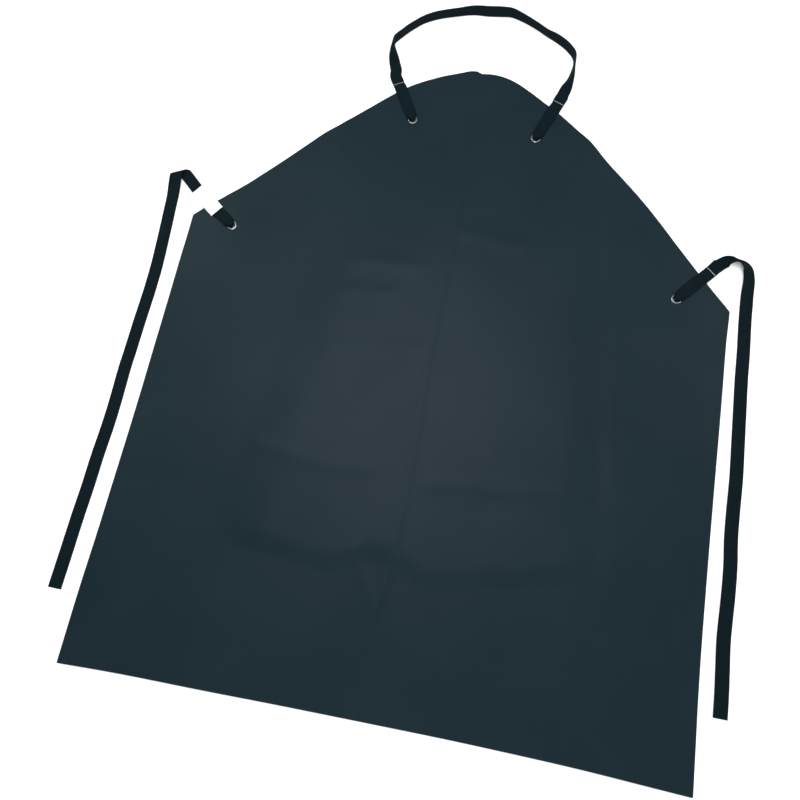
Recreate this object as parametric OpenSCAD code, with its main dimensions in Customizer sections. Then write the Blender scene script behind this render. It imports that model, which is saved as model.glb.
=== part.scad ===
// Protective apron lying on its back, front face up, neck strap towards +Y.
// Origin: centre of the skirt's flat back face. +X is the right side as seen
// from the front, +Z is the front.

/* [Panel] */
// Width of the skirt
panel_w = 900; // [880:5:960]
// Height of the skirt, from the hem to the waist corners
skirt_h = 710; // [700:10:800]
// Height of the bib, from the waist corners to its top
bib_h = 372; // [366:1:378]
// Radius of the arch at the top of the bib
top_r = 155; // [150:1:160]
// Angle from the centre line over which the arch keeps that radius
top_angle = 25; // [22:1:27]
// Slope of the bib's straight sides
side_angle = 46.6; // [46:0.2:48]

/* [Plies] */
// Thickness of each rubber cover
cover_t = 0.6; // [0.4:0.1:0.8]
// Thickness of the lead-loaded core sheet
core_t = 0.8; // [0.5:0.1:1.5]
// Width of the edge where the covers meet outside the core
edge_seal = 8; // [4:1:15]

/* [Lie] */
// How far the washers and the webbing hold the bib off the surface
bib_lift = 2.2; // [2.2:0.1:2.6]
// Distance below the waist corners where the panel starts to rise
rise_start = 30; // [30:1:60]
// Length over which it rises
rise_l = 18; // [12:1:20]

/* [Eyelets] */
// Distance of the neck eyelets from the centre line
neck_eyelet_x = 108; // [104:1:112]
// Distance of the neck eyelets below the top of the bib
neck_eyelet_drop = 117; // [114:1:120]
// Distance of the waist eyelets inside the waist corners
waist_eyelet_in = 80; // [78:1:82]
// Height of the waist eyelets above the waist corners
waist_eyelet_up = 1; // [0:1:3]
// Outer diameter of the eyelet's flange
flange_d = 16; // [14:0.5:18]
// Bore of the eyelet
eyelet_bore = 9.4; // [8.8:0.2:10]
// Thickness of the eyelet's flange
flange_t = 0.7; // [0.5:0.1:0.8]
// Thickness of the eyelet's barrel
barrel_t = 0.5; // [0.4:0.1:0.6]
// Outer diameter of the washer behind the panel
washer_d = 15; // [14:0.5:18]
// Thickness of the washer
washer_t = 0.6; // [0.4:0.1:0.6]

/* [Webbing] */
// Width of the straps
web_w = 20.5; // [20:0.5:21]
// Thickness of the straps
web_t = 1.2; // [1:0.1:1.2]

/* [Staples] */
// Length of a staple's crown
staple_l = 19; // [17:0.5:19]
// Width of the flat wire
wire_w = 1.3; // [1:0.1:1.6]
// Thickness of the flat wire
wire_t = 0.5; // [0.4:0.1:0.5]
// Length of each leg clinched flat behind the webbing
clinch_l = 6; // [4:0.5:8]

/* [Label] */
// Distance of the label's near end from the eyelet
label_start = 38; // [30:1:45]
// Distance of the label's far end from the eyelet
label_end = 94; // [88:1:95]
// Width of the blank label across the strap
label_w = 24; // [23:0.5:26]
// Thickness of the label
label_t = 0.3; // [0.2:0.1:0.4]

/* [Hidden] */

rubber = [0.16, 0.2, 0.22];
webbing = [0.07, 0.11, 0.13];
steel = [0.78, 0.8, 0.81];
white = [0.93, 0.93, 0.92];

// Panel lines and levels
flat_l = skirt_h - rise_start;
hem_y = -flat_l / 2;
rise_y = flat_l / 2;
waist_y = rise_y + rise_start;
bib_top_y = waist_y + bib_h;
side_x = panel_w / 2;
panel_t = 2 * cover_t + core_t;
middle_z = panel_t / 2;
bib_back_z = bib_lift;
bib_front_z = bib_lift + panel_t;
slack = 0.1;

// Bib outline: an arch, a shoulder arc and a straight side, each tangent to the next
function normal(angle) = [sin(angle), cos(angle)];
arch_centre = [0, bib_top_y - top_r];
arch_end = arch_centre + top_r * normal(top_angle);
shoulder_r = ([side_x, waist_y] - arch_end) * normal(side_angle)
    / (1 - cos(side_angle - top_angle));
shoulder_centre = arch_end - shoulder_r * normal(top_angle);
arc_steps = 8;

function arc(centre, radius, from_angle, to_angle) = [
    for (i = [1 : arc_steps])
        centre + radius * normal(from_angle + (to_angle - from_angle) * i / arc_steps)
];

function right_outline(inset) = concat(
    arc(arch_centre, top_r - inset, 0, top_angle),
    arc(shoulder_centre, shoulder_r - inset, top_angle, side_angle),
    [
        [side_x - inset, waist_y - inset * (1 - sin(side_angle)) / cos(side_angle)],
        [side_x - inset, hem_y + inset]
    ]
);

function mirrored(points) = [for (i = [len(points) - 1 : -1 : 0]) [-points[i].x, points[i].y]];

function outline(inset) = concat(
    [[0, bib_top_y - inset]],
    right_outline(inset),
    mirrored(right_outline(inset))
);

// Eyelets: [x, y] of each centre
neck_left = [-neck_eyelet_x, bib_top_y - neck_eyelet_drop];
neck_right = [neck_eyelet_x, bib_top_y - neck_eyelet_drop];
waist_left = [waist_eyelet_in - side_x, waist_y + waist_eyelet_up];
waist_right = [side_x - waist_eyelet_in, waist_y + waist_eyelet_up];
eyelets = [neck_left, neck_right, waist_left, waist_right];
bore_r = eyelet_bore / 2;
barrel_r = bore_r + barrel_t;
curl_z = bib_back_z - washer_t - 0.3;

// Loops: direction, then distances from the eyelet of the bend over the panel's
// edge, the landing on the other ply, the staple, the returned end and the fold
neck_left_loop = [118, 69.5, 77, 79, 92, 112];
neck_right_loop = [69.2, 72, 80.5, 84.5, 94, 112];
waist_left_loop = [144.5, 62, 73, 78.6, 96, 101];
waist_right_loop = [48.5, 62, 73, 78.6, 85, 88];
loop_front_z = bib_front_z + flange_t + slack;
bunch_r = bore_r - 0.8;
rounded_end = -3.5;

// Fold lines: straps bend here, with this gap in the webbing on each side
fold_gap = 2;
neck_fold_y = bib_top_y - 22;

// Neck band: [x, y from the top of the bib, roll in degrees]
neck_route = [
    [-155.5, -20, 0], [-160, -8, 10], [-163.5, 2, 27], [-165.5, 11, 48], [-167, 20, 65],
    [-168.5, 29, 82], [-168.5, 37, 90], [-164.5, 43.5, 92], [-158.5, 51, 93], [-150.5, 61.5, 93],
    [-139, 74, 94], [-125.5, 87, 95], [-107.5, 98.5, 95], [-89.5, 106.5, 96], [-69.5, 113.5, 95],
    [-38, 123.5, 89], [-10, 126, 84], [12, 129, 84], [30, 130, 90], [52, 122.5, 97],
    [80.5, 108.5, 101], [100, 97, 101], [116, 89.5, 95], [133, 79, 93], [146.5, 66.5, 92],
    [152.5, 57.5, 91], [154.5, 48, 90], [154, 38, 87], [153, 26, 79], [152, 14, 65],
    [149.5, 1, 42], [146.5, -10, 10], [143.5, -20, 0]
];

// Waist ties: [x outwards from the panel's side, y up from the waist corners, roll]
root_left_route = [
    [4, 61, 0], [8, 65, 10], [12, 69, 25], [16.5, 72.5, 45], [20.5, 75, 68],
    [24, 76.5, 88]
];
tail_left_route = [
    [28.5, 77, 100], [31.5, 76, 122], [34, 73, 142], [36, 68, 160], [36.5, 61, 172],
    [36.5, 52, 180], [35.5, 38, 180], [33.5, 15, 180], [31, -16, 180], [28.5, -54, 180],
    [26.5, -90, 180], [26, -140, 180], [27, -190, 180], [27.5, -240, 180], [28, -270, 180],
    [27, -320, 180], [27, -362, 180], [29, -415, 180], [29.5, -461, 180], [31, -507, 180],
    [32, -565, 180], [33, -614, 180]
];
root_right_route = [
    [-20.5, 68.5, 0], [-17, 72, 10], [-13, 75.5, 22], [-8.5, 78.5, 35], [-4, 80, 52],
    [0, 80.6, 72], [3.5, 80.8, 90]
];
tail_right_route = [
    [7.5, 81.2, 100], [11, 82, 115], [15, 82.5, 131], [22, 81, 150], [27.5, 78, 161],
    [31, 73, 166], [32.5, 66, 168], [33.5, 58, 170], [33.5, 48, 172], [33, 38, 176],
    [32.5, 20, 180], [32, -18, 180], [32.5, -70, 180], [32, -110, 180], [32.5, -165, 180],
    [33, -215, 180], [33.5, -270, 180], [32, -320, 180], [31.5, -360, 180], [33, -400, 180],
    [32.5, -440, 180], [31, -475, 180], [30, -505, 180], [31, -540, 180], [32, -580, 180],
    [32, -607, 180]
];

function neck_path(route) = [for (p = route) [p.x, p.y + bib_top_y, p.z]];
function tie_path(route, side) = [
    for (p = route) [side * (p.x + side_x), p.y + waist_y, side * p.z]
];

// Strap section: a flat strip with bevelled edges, as [across, through] pairs
half_w = web_w / 2;
half_t = web_t / 2;
bevel = 0.4;
strap_section = [
    [-half_w, -half_t + bevel], [-half_w + bevel, -half_t],
    [half_w - bevel, -half_t], [half_w, -half_t + bevel],
    [half_w, half_t - bevel], [half_w - bevel, half_t],
    [-half_w + bevel, half_t], [-half_w, half_t - bevel]
];
section_n = len(strap_section);

function heading(path, i) = let (
    ahead = path[min(i + 1, len(path) - 1)],
    behind = path[max(i - 1, 0)],
    step = [ahead.x - behind.x, ahead.y - behind.y]
) step / norm(step);

// A ring of the strap at point i, resting on its lowest edge and turned by its roll
function ring(path, i) = let (
    along = heading(path, i),
    roll = path[i].z,
    across = [-along.y * cos(roll), along.x * cos(roll), sin(roll)],
    through = [along.y * sin(roll), -along.x * sin(roll), cos(roll)],
    height = half_w * abs(sin(roll)) + half_t * abs(cos(roll)),
    centre = [path[i].x, path[i].y, height]
) [for (s = strap_section) centre + s[0] * across + s[1] * through];

// The two faces are split along parallel diagonals, so a twisted strap keeps its thickness
function side_faces(i, k) = let (
    a = i * section_n + k,
    b = i * section_n + (k + 1) % section_n,
    c = a + section_n,
    d = b + section_n
) k < section_n / 2 ? [[a, b, d], [a, d, c]] : [[a, b, c], [b, d, c]];

module strap(path) {
    rings = len(path);
    points = [for (i = [0 : rings - 1]) each ring(path, i)];
    sides = [
        for (i = [0 : rings - 2], k = [0 : section_n - 1]) each side_faces(i, k)
    ];
    near_end = [for (k = [section_n - 1 : -1 : 0]) k];
    far_end = [for (k = [0 : section_n - 1]) (rings - 1) * section_n + k];
    polyhedron(points, concat(sides, [near_end, far_end]));
}

// Side view of a ply between two levels, flat under the skirt and raised under the bib
module side_view(low_z, high_z) {
    polygon([
        [hem_y, low_z], [rise_y, low_z],
        [rise_y + rise_l, low_z + bib_lift], [bib_top_y, low_z + bib_lift],
        [bib_top_y, high_z + bib_lift], [rise_y + rise_l, high_z + bib_lift],
        [rise_y, high_z], [hem_y, high_z]
    ]);
}

// A ply: the apron's outline cut out of a sheet that follows the side view
module ply(low_z, high_z, inset) {
    intersection() {
        rotate([90, 0, 90])
            linear_extrude(panel_w, center = true)
                side_view(low_z, high_z);
        linear_extrude(3 * bib_front_z)
            polygon(outline(inset));
    }
}

module eyelet_holes() {
    for (place = eyelets)
        translate([place.x, place.y, -1])
            cylinder(h = 3 * bib_front_z, r = barrel_r + slack / 2, $fn = 48);
}

module front_cover() {
    color(rubber)
        difference() {
            ply(middle_z, panel_t, 0);
            ply(0, cover_t + core_t, edge_seal);
            eyelet_holes();
        }
}

module lead_core() {
    color("dimgray")
        difference() {
            ply(cover_t, cover_t + core_t, edge_seal);
            eyelet_holes();
        }
}

module back_cover() {
    color(rubber)
        difference() {
            ply(0, middle_z, 0);
            ply(cover_t, panel_t, edge_seal);
            eyelet_holes();
        }
}

// One-piece eyelet: flange in front, barrel through the panel, curl over the washer
module eyelet(place) {
    flange_r = flange_d / 2;
    curl_r = barrel_r + 1.4;
    color(steel)
        translate([place.x, place.y, 0])
            rotate_extrude($fn = 64)
                polygon([
                    [bore_r, curl_z], [curl_r, curl_z],
                    [curl_r, bib_back_z - washer_t], [barrel_r, bib_back_z - washer_t],
                    [barrel_r, bib_front_z], [flange_r, bib_front_z],
                    [flange_r, bib_front_z + flange_t / 2],
                    [flange_r - 0.8, bib_front_z + flange_t],
                    [bore_r + 0.6, bib_front_z + flange_t],
                    [bore_r, bib_front_z + flange_t / 2]
                ]);
}

module washer(place) {
    color(steel)
        translate([place.x, place.y, bib_back_z - washer_t])
            difference() {
                cylinder(h = washer_t, r = washer_d / 2, $fn = 64);
                translate([0, 0, -1])
                    cylinder(h = washer_t + 2, r = barrel_r + slack / 2, $fn = 64);
            }
}

// Cuts for the staple: two slots for its legs and a groove for the clinched ends
module staple_cuts(staple_u) {
    leg_v = (staple_l - wire_t) / 2;
    for (side = [-1, 1]) {
        translate([staple_u, side * leg_v, web_t])
            cube([wire_w + slack, wire_t + slack, 4 * web_t], center = true);
        translate([staple_u, side * (staple_l - clinch_l) / 2, 0])
            cube([wire_w + slack, clinch_l + slack, 2 * wire_t + slack], center = true);
    }
}

// Webbing through the eyelet and round the panel's edge, both plies flat on each
// other beyond it; the back ply runs on to the fold
module loop(place, shape, end_u) {
    color(webbing)
        translate([place.x, place.y, 0])
            rotate([0, 0, shape[0]])
                difference() {
                    union() {
                        intersection() {
                            rotate([90, 0, 0])
                                linear_extrude(web_w, center = true)
                                    loop_side_view(shape, end_u);
                            union() {
                                translate([rounded_end + half_w, 0, -1])
                                    cylinder(h = 20, r = half_w, $fn = 64);
                                translate([rounded_end + half_w, -half_w, -1])
                                    cube([end_u, web_w, 20]);
                            }
                        }
                        translate([0.4, 0, half_t])
                            cylinder(h = loop_front_z, r = bunch_r, $fn = 48);
                    }
                    staple_cuts(shape[3]);
                }
}

module loop_side_view(shape, end_u) {
    start_u = rounded_end - 1;
    polygon([
        [start_u, 0], [end_u, 0], [end_u, web_t], [start_u, web_t]
    ]);
    polygon([
        [start_u, loop_front_z], [shape[1], loop_front_z],
        [shape[2], web_t], [shape[4], web_t],
        [shape[4], 2 * web_t], [shape[2], 2 * web_t],
        [shape[1], loop_front_z + web_t], [start_u, loop_front_z + web_t]
    ]);
}

// The neck loops are cut square to the fold line, which runs along X
module neck_loop(place, shape) {
    intersection() {
        loop(place, shape, shape[5]);
        translate([-panel_w / 2, 0, -1])
            cube([panel_w, neck_fold_y - fold_gap, 20]);
    }
}

module waist_loop(place, shape) {
    loop(place, shape, shape[5] - fold_gap);
}

// Flat-wire staple across the strap: crown, legs and clinched ends
module staple(place, shape) {
    crown_z = 2 * web_t;
    color(steel)
        translate([place.x, place.y, 0])
            rotate([0, 0, shape[0]])
                translate([shape[3], 0, 0])
                    rotate([90, 0, 90])
                        linear_extrude(wire_w, center = true)
                            difference() {
                                translate([-staple_l / 2, slack / 2])
                                    square([staple_l, crown_z + wire_t - slack / 2]);
                                translate([wire_t - staple_l / 2, slack / 2 + wire_t])
                                    square([staple_l - 2 * wire_t, crown_z - wire_t - slack / 2]);
                                translate([clinch_l - staple_l / 2, 0])
                                    square([staple_l - 2 * clinch_l, crown_z]);
                            }
}

// Blank label over the left waist loop and its staple, its long sides turned down
module size_label() {
    bend_u = waist_left_loop[1];
    land_u = waist_left_loop[2];
    high_z = loop_front_z + web_t;
    low_z = 2 * web_t + wire_t + slack;
    flap_high_z = bib_front_z + 2 * slack;
    flap_low_z = 2 * slack;
    color(white)
        translate([waist_left.x, waist_left.y, 0])
            rotate([0, 0, waist_left_loop[0]])
                rotate([90, 0, 0]) {
                    linear_extrude(label_w, center = true)
                        polygon([
                            [label_start, high_z], [bend_u, high_z],
                            [land_u, low_z], [label_end, low_z],
                            [label_end, low_z + label_t], [land_u, low_z + label_t],
                            [bend_u, high_z + label_t], [label_start, high_z + label_t]
                        ]);
                    for (side = [-1, 1])
                        translate([0, 0, side * (label_w - label_t) / 2])
                            linear_extrude(label_t, center = true)
                                polygon([
                                    [label_start, flap_high_z], [bend_u, flap_high_z],
                                    [land_u, flap_low_z], [label_end, flap_low_z],
                                    [label_end, low_z + label_t], [land_u, low_z + label_t],
                                    [bend_u, high_z + label_t],
                                    [label_start, high_z + label_t]
                                ]);
                }
}

module neck_band() {
    color(webbing)
        strap(neck_path(neck_route));
}

module tie(route, side) {
    color(webbing)
        strap(tie_path(route, side));
}

front_cover();
lead_core();
back_cover();
eyelet(neck_left);  // eyelet_neck_left
eyelet(neck_right);  // eyelet_neck_right
eyelet(waist_left);  // eyelet_waist_left
eyelet(waist_right);  // eyelet_waist_right
washer(neck_left);  // washer_neck_left
washer(neck_right);  // washer_neck_right
washer(waist_left);  // washer_waist_left
washer(waist_right);  // washer_waist_right
neck_loop(neck_left, neck_left_loop);  // loop_neck_left
neck_loop(neck_right, neck_right_loop);  // loop_neck_right
waist_loop(waist_left, waist_left_loop);  // loop_waist_left
waist_loop(waist_right, waist_right_loop);  // loop_waist_right
staple(neck_left, neck_left_loop);  // staple_neck_left
staple(neck_right, neck_right_loop);  // staple_neck_right
staple(waist_left, waist_left_loop);  // staple_waist_left
staple(waist_right, waist_right_loop);  // staple_waist_right
size_label();
neck_band();
tie(root_left_route, -1);  // tie_root_left
tie(root_right_route, 1);  // tie_root_right
tie(tail_left_route, -1);  // tie_tail_left
tie(tail_right_route, 1);  // tie_tail_right
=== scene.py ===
"""Looks of the protective apron: rubber panel, webbing straps, eyelets, staples and label."""

import math

import bpy
import numpy as np
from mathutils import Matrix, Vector


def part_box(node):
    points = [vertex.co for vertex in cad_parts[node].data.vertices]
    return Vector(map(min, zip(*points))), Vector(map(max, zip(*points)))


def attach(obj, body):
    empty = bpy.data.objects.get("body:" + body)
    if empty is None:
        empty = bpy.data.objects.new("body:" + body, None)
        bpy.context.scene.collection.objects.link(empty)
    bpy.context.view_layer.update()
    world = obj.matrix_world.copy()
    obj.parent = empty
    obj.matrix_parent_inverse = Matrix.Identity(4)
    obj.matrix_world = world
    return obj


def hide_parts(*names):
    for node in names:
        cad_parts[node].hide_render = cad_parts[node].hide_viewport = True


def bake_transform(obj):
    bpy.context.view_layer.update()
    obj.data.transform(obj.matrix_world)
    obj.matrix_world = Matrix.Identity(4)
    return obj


MM = 0.001

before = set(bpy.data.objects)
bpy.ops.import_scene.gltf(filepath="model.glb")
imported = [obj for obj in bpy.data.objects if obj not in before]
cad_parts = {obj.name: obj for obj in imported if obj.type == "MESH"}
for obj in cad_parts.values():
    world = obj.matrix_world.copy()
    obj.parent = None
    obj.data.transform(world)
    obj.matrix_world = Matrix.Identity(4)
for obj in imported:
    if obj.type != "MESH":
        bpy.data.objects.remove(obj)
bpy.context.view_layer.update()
scene = bpy.context.scene

# ---------------------------------------------------------------- camera
CAMERA_PLACE = (0.0163, -0.0806, 0.9139)
CAMERA_TURN_DEG = (13.18, 0.84, 10.69)
CAMERA_LENS_MM = 27.0

camera_data = bpy.data.cameras.new("camera")
camera_data.lens = CAMERA_LENS_MM
camera_data.sensor_width = 36.0
camera_data.clip_start = 0.01
camera = bpy.data.objects.new("camera", camera_data)
camera.location = CAMERA_PLACE
camera.rotation_euler = [math.radians(a) for a in CAMERA_TURN_DEG]
scene.collection.objects.link(camera)
scene.camera = camera

# ---------------------------------------------------------------- places from the frame
PANEL_LOW, PANEL_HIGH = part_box("front_cover")
SIDE_X = PANEL_HIGH.x
HEM_Y = PANEL_LOW.y
TOP_Y = PANEL_HIGH.y
PANEL_FRONT_Z = PANEL_HIGH.z
WAIST_Y = 370 * MM
PANEL_T = 2.0 * MM
BIB_LIFT = PANEL_FRONT_Z - PANEL_T


def middle_of(node):
    low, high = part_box(node)
    return np.array((low + high) / 2)


PLACES = ["neck_left", "neck_right", "waist_left", "waist_right"]
EYELET = {place: middle_of("eyelet_" + place)[:2] for place in PLACES}

# Loops, as in the CAD: direction, and distances from the eyelet of the bend over the
# panel's edge, the landing on the other ply, the staple, the returned end and the seam.
# The returned end lies askew of the strap under it. Lengths are in millimetres.
LOOP = {
    "neck_left": dict(turn=118.0, bend=69.5, land=77, staple=79, end=99, seam=88, askew=1.2),
    "neck_right": dict(turn=69.2, bend=72, land=80.5, staple=84.5, end=98.5, seam=88, askew=1.3),
    "waist_left": dict(turn=144.5, bend=62, land=73, staple=78.6, end=92, seam=84, askew=0.4),
    "waist_right": dict(turn=48.5, bend=62, land=73, staple=78.6, end=83.5, seam=82, askew=0.3),
}
WEB_W = 20.5 * MM
WEB_T = 1.2 * MM


def direction(degrees):
    return np.array([math.cos(math.radians(degrees)), math.sin(math.radians(degrees))])


def strap_axes(degrees):
    """The level directions along a strap that points at an angle, and to its left."""
    x, y = direction(degrees)
    return np.array([x, y, 0.0]), np.array([-y, x, 0.0])


def along_loop(place, u, v=0.0):
    """The point u metres from the eyelet along a loop, and v to the left of it."""
    ahead, left = strap_axes(LOOP[place]["turn"])
    return EYELET[place] + u * ahead[:2] + v * left[:2]


# ---------------------------------------------------------------- mesh helpers
def new_mesh(name, points, faces):
    mesh = bpy.data.meshes.new(name)
    mesh.from_pydata([tuple(p) for p in points], [], [tuple(f) for f in faces])
    mesh.polygons.foreach_set("use_smooth", [True] * len(mesh.polygons))
    mesh.update()
    piece = bpy.data.objects.new(name, mesh)
    scene.collection.objects.link(piece)
    return piece


def point_attribute(piece, name, values):
    attribute = piece.data.attributes.new(name, "FLOAT", "POINT")
    attribute.data.foreach_set("value", np.asarray(values, np.float32).ravel())


def sharpen(piece, degrees):
    """Marks edges sharper than an angle, so that flat ends stay crisp."""
    piece.data.set_sharp_from_angle(angle=math.radians(degrees))


def smooth_line(points, step):
    """A Catmull-Rom curve through points of three or more values. Only the first three count
    for distances, and the curve's points are about step apart."""
    p = np.asarray(points, float)
    p = np.vstack([2 * p[0] - p[1], p, 2 * p[-1] - p[-2]])
    out = []
    for i in range(1, len(p) - 2):
        gaps = [max(np.linalg.norm(p[k + 1, :3] - p[k, :3]), 1e-9) ** 0.5 for k in (i - 1, i, i + 1)]
        before = (p[i] - p[i - 1]) / gaps[0]
        middle = (p[i + 1] - p[i]) / gaps[1]
        after = (p[i + 2] - p[i + 1]) / gaps[2]
        start = gaps[1] * (before - (p[i + 1] - p[i - 1]) / (gaps[0] + gaps[1]) + middle)
        end = gaps[1] * (middle - (p[i + 2] - p[i]) / (gaps[1] + gaps[2]) + after)
        n = max(1, int(round(np.linalg.norm(p[i + 1, :3] - p[i, :3]) / step)))
        for t in np.arange(n) / n:
            out.append(
                (2 * t**3 - 3 * t**2 + 1) * p[i]
                + (t**3 - 2 * t**2 + t) * start
                + (3 * t**2 - 2 * t**3) * p[i + 1]
                + (t**3 - t**2) * end
            )
    out.append(p[-2])
    return np.array(out)


def unit(vectors):
    return vectors / np.maximum(np.linalg.norm(vectors, axis=-1, keepdims=True), 1e-12)


def lengths(line):
    """How far along a line each of its points is."""
    return np.concatenate([[0], np.cumsum(np.linalg.norm(np.diff(line, axis=0), axis=1))])


def spaced_out(line, steps):
    """The same flat line in steps points, an even distance apart."""
    at = lengths(line)
    return np.column_stack([np.interp(np.linspace(0, at[-1], steps), at, line[:, k]) for k in (0, 1)])


def smooth_step(t):
    """0 at 0, easing to 1 at 1 and beyond."""
    t = np.clip(t, 0, 1)
    return t * t * (3 - 2 * t)


def fix_direction(piece):
    """Turns a closed mesh's faces outwards."""
    mesh = piece.data
    mesh.calc_loop_triangles()
    co = np.array([v.co for v in mesh.vertices])
    tri = np.array([t.vertices for t in mesh.loop_triangles])
    a, b, c = co[tri[:, 0]], co[tri[:, 1]], co[tri[:, 2]]
    if (a * np.cross(b, c)).sum() < 0:
        mesh.flip_normals()


def tube_faces(rings, around):
    """The faces of a closed tube of rings, each with the same number of points around it."""
    faces = []
    for i in range(rings - 1):
        for j in range(around):
            here = i * around + j
            beside = i * around + (j + 1) % around
            faces.append((here, beside, beside + around, here + around))
    faces.append(tuple(range(around - 1, -1, -1)))
    faces.append(tuple(range((rings - 1) * around, rings * around)))
    return faces


def apply_modifiers(piece):
    made = bpy.data.meshes.new_from_object(piece.evaluated_get(bpy.context.evaluated_depsgraph_get()))
    old = piece.data
    piece.data = made
    piece.modifiers.clear()
    bpy.data.meshes.remove(old)


# ---------------------------------------------------------------- webbing
# The section's upper face from edge to edge: place across and share of half the thickness
SELVEDGE = [(1.0, 0.0), (0.992, 0.5), (0.972, 0.83), (0.93, 0.98)]
FACE = [0.86, 0.72, 0.56, 0.4, 0.24, 0.08]
HALF_SECTION = SELVEDGE + [(a, 1.0) for a in FACE]
UPPER = [(-a, h) for a, h in HALF_SECTION] + [(a, h) for a, h in HALF_SECTION[::-1]]
SECTION = UPPER + [(a, -h) for a, h in UPPER[-2:0:-1]]


def section_ring(width, curl):
    """(across, out) of each point of a strap's section, which is bent into an arc of curl radians."""
    place = np.array([a for a, _ in SECTION]) * width / 2
    depth = np.array([h for _, h in SECTION]) * WEB_T / 2
    if abs(curl) < 1e-3:
        return place, depth
    radius = width / curl
    angle = place / radius
    balance = radius * (1 - math.sin(curl / 2) / (curl / 2))
    return (
        (radius + depth) * np.sin(angle),
        (radius + depth) * np.cos(angle) - radius + balance,
    )


def ring_strap(name, rings, centres):
    """A strap from the points of its sections, one ring for each of its centres."""
    around = len(SECTION)
    piece = new_mesh(name, np.concatenate(rings), tube_faces(len(rings), around))
    fix_direction(piece)
    place = np.array([a for a, _ in SECTION]) * WEB_W / 2
    point_attribute(piece, "along", np.repeat(lengths(centres), around))
    point_attribute(piece, "across", np.tile(place, len(rings)))
    sharpen(piece, 50)
    return piece


def sweep(name, centres, across, out, curl=None, width=None):
    """A strap along centres, with its width along across and its face towards out."""
    n = len(centres)
    curl = np.zeros(n) if curl is None else curl
    width = np.ones(n) if width is None else width
    rings = []
    for i in range(n):
        a, o = section_ring(WEB_W * width[i], curl[i])
        rings.append(centres[i] + np.outer(a, across[i]) + np.outer(o, out[i]))
    return ring_strap(name, rings, centres)


def resting_frames(route, step):
    """Centres, across and out directions of a strap that rests on its lowest edge.
    The route is [x, y, roll in degrees] in millimetres."""
    line = smooth_line([(x * MM, y * MM, 0.0, roll) for x, y, roll in route], step)
    flat, roll = line[:, :2], np.radians(line[:, 3])
    ahead = unit(np.gradient(flat, axis=0))
    height = WEB_W / 2 * np.abs(np.sin(roll)) + WEB_T / 2 * np.abs(np.cos(roll))
    centres = np.column_stack([flat, height])
    across = np.column_stack([-ahead[:, 1] * np.cos(roll), ahead[:, 0] * np.cos(roll), np.sin(roll)])
    tangent = unit(np.gradient(centres, axis=0))
    across = unit(across - (across * tangent).sum(1)[:, None] * tangent)
    return centres, across, np.cross(tangent, across)


# ---------------------------------------------------------------- cords
STEP = 2.5 * MM

# Neck band, as in the CAD: [x, y from the top of the bib, roll]
NECK_ROUTE = [
    [-155.5, -20, 0], [-160, -8, 10], [-163.5, 2, 27], [-165.5, 11, 48], [-167, 20, 65],
    [-168.5, 29, 82], [-168.5, 37, 90], [-164.5, 43.5, 92], [-158.5, 51, 93], [-150.5, 61.5, 93],
    [-139, 74, 94], [-125.5, 87, 95], [-107.5, 98.5, 95], [-89.5, 106.5, 96], [-69.5, 113.5, 95],
    [-38, 123.5, 89], [-10, 126, 84], [12, 129, 84], [30, 130, 90], [52, 122.5, 97],
    [80.5, 108.5, 101], [100, 97, 101], [116, 89.5, 95], [133, 79, 93], [146.5, 66.5, 92],
    [152.5, 57.5, 91], [154.5, 48, 90], [154, 38, 87], [153, 26, 79], [152, 14, 65],
    [149.5, 1, 42], [146.5, -10, 10], [143.5, -20, 0],
]
# Waist ties, as in the CAD: [x outwards from the panel's side, y up from the waist corners, roll]
ROOT_RIGHT_ROUTE = [
    [-20.5, 68.5, 0], [-17, 72, 10], [-13, 75.5, 22], [-8.5, 78.5, 35], [-4, 80, 52],
    [0, 80.6, 72], [3.5, 80.8, 90],
]
TAIL_RIGHT_ROUTE = [
    [7.5, 81.2, 100], [11, 82, 115], [15, 82.5, 131], [22, 81, 150], [27.5, 78, 161],
    [31, 73, 166], [32.5, 66, 168], [33.5, 58, 170], [33.5, 48, 172], [33, 38, 176],
    [32.5, 20, 180], [32, -18, 180], [32.5, -70, 180], [32, -110, 180], [32.5, -165, 180],
    [33, -215, 180], [33.5, -270, 180], [32, -320, 180], [31.5, -360, 180], [33, -400, 180],
    [32.5, -440, 180], [31, -475, 180], [30, -505, 180], [31, -540, 180], [32, -580, 180],
    [32, -607, 180],
]
TAIL_LEFT_ROUTE = [
    [31, -16, 180], [28.5, -54, 180], [26.5, -90, 180], [26, -140, 180], [27, -190, 180],
    [27.5, -240, 180], [28, -270, 180], [27, -320, 180], [27, -362, 180], [29, -415, 180],
    [29.5, -461, 180], [31, -507, 180], [32, -565, 180], [33, -614, 180],
]


def neck_band():
    """The free band, from under one loop's returned end to under the other's."""
    top = TOP_Y / MM
    ends = []
    for place in ("neck_left", "neck_right"):
        start = along_loop(place, LOOP[place]["seam"] * MM) / MM
        near = along_loop(place, (LOOP[place]["seam"] + 12) * MM) / MM
        ends.append([[*start, 0], [*near, 0]])
    route = ends[0] + [[x, y + top, roll] for x, y, roll in NECK_ROUTE] + ends[1][::-1]
    centres, across, out = resting_frames(route, STEP)
    piece = sweep("neck_band_webbing", centres, across, out)
    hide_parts("neck_band")
    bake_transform(piece)
    return piece


def side_route(route, side):
    """A tie's route in millimetres in the frame, on the left side, -1, or the right side, 1."""
    return [[side * (x + SIDE_X / MM), y + WAIST_Y / MM, side * roll] for x, y, roll in route]


def declare_tie(side, root, tail):
    """Hides a tie's CAD pieces and bakes its two pieces' placement into their meshes. The tail is the
    cord.
    """
    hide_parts("tie_root_" + side)
    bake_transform(root)
    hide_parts("tie_tail_" + side)
    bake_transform(tail)
    return [root, tail]


RIGHT_SPLIT_X = 0.4375


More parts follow.
